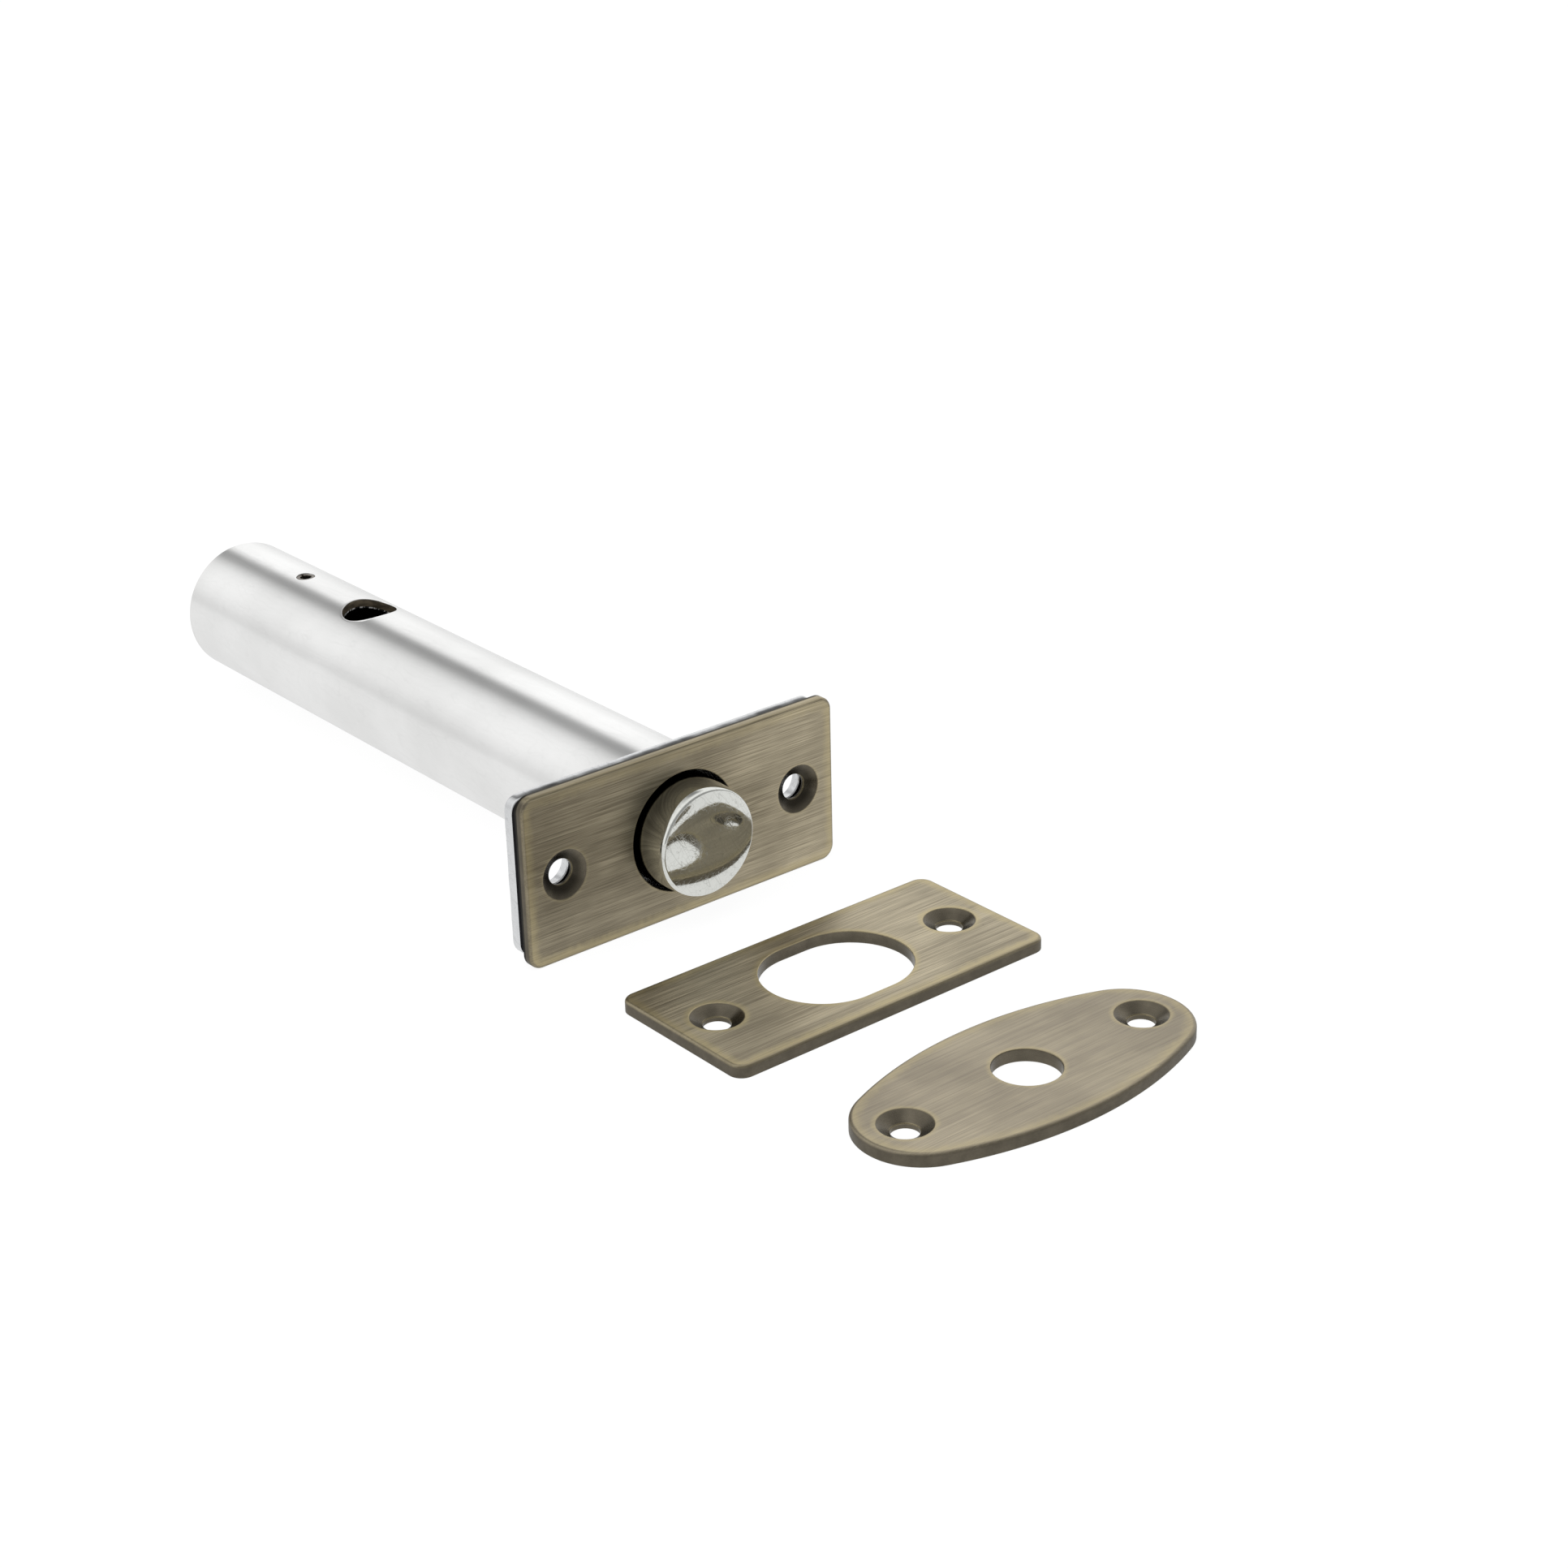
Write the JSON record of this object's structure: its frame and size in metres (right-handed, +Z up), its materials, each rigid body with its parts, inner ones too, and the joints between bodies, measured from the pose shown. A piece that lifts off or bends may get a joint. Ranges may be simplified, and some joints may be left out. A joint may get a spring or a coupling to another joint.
{
  "type": "rack bolt",
  "caption": "Mortice rack bolt: round bolt in a long tube behind a screwed face plate, moved by a fluted key, with its obround keep plate and oval key escutcheon.",
  "frame": {"origin": "centre of the bolt's axis in the front surface of the face plate, midway between its two screws", "axes": "-Y is the way the bolt is thrown, +Y runs along the barrel, X is the plate's long side, +Z is up with the key hole on top"},
  "size_m": [0.0567, 0.198, 0.0254],
  "materials": {
    "antique_brass": "brushed along the long side, antiqued, worn paler at the edges",
    "pale_antique_brass": "brushed along the long side, lightly antiqued, worn paler at the edges",
    "black_pad": "matt",
    "zinc_casting": "bright plated casting",
    "satin_tube": "satin",
    "bright_bolt": "polished, lightly scratched",
    "spring_steel": "oiled",
    "plug_metal": "satin, turned"
  },
  "bodies": {
    "case": {"face_plate": "antique_brass", "face_pad": "black_pad", "back_plate": "zinc_casting", "barrel": "satin_tube", "guide_pin": "spring_steel", "end_plug": "plug_metal", "keep_plate": "antique_brass", "escutcheon": "pale_antique_brass"},
    "bolt_bar": {"bolt": "bright_bolt", "detent_ball": "spring_steel", "detent_spring": "spring_steel"}
  },
  "joints": [
    {"name": "bolt_throw", "type": "slide", "parent": "case", "child": "bolt_bar", "axis": [0, -1, 0], "range_m": [-0.0057, 0.008]}
  ]
}
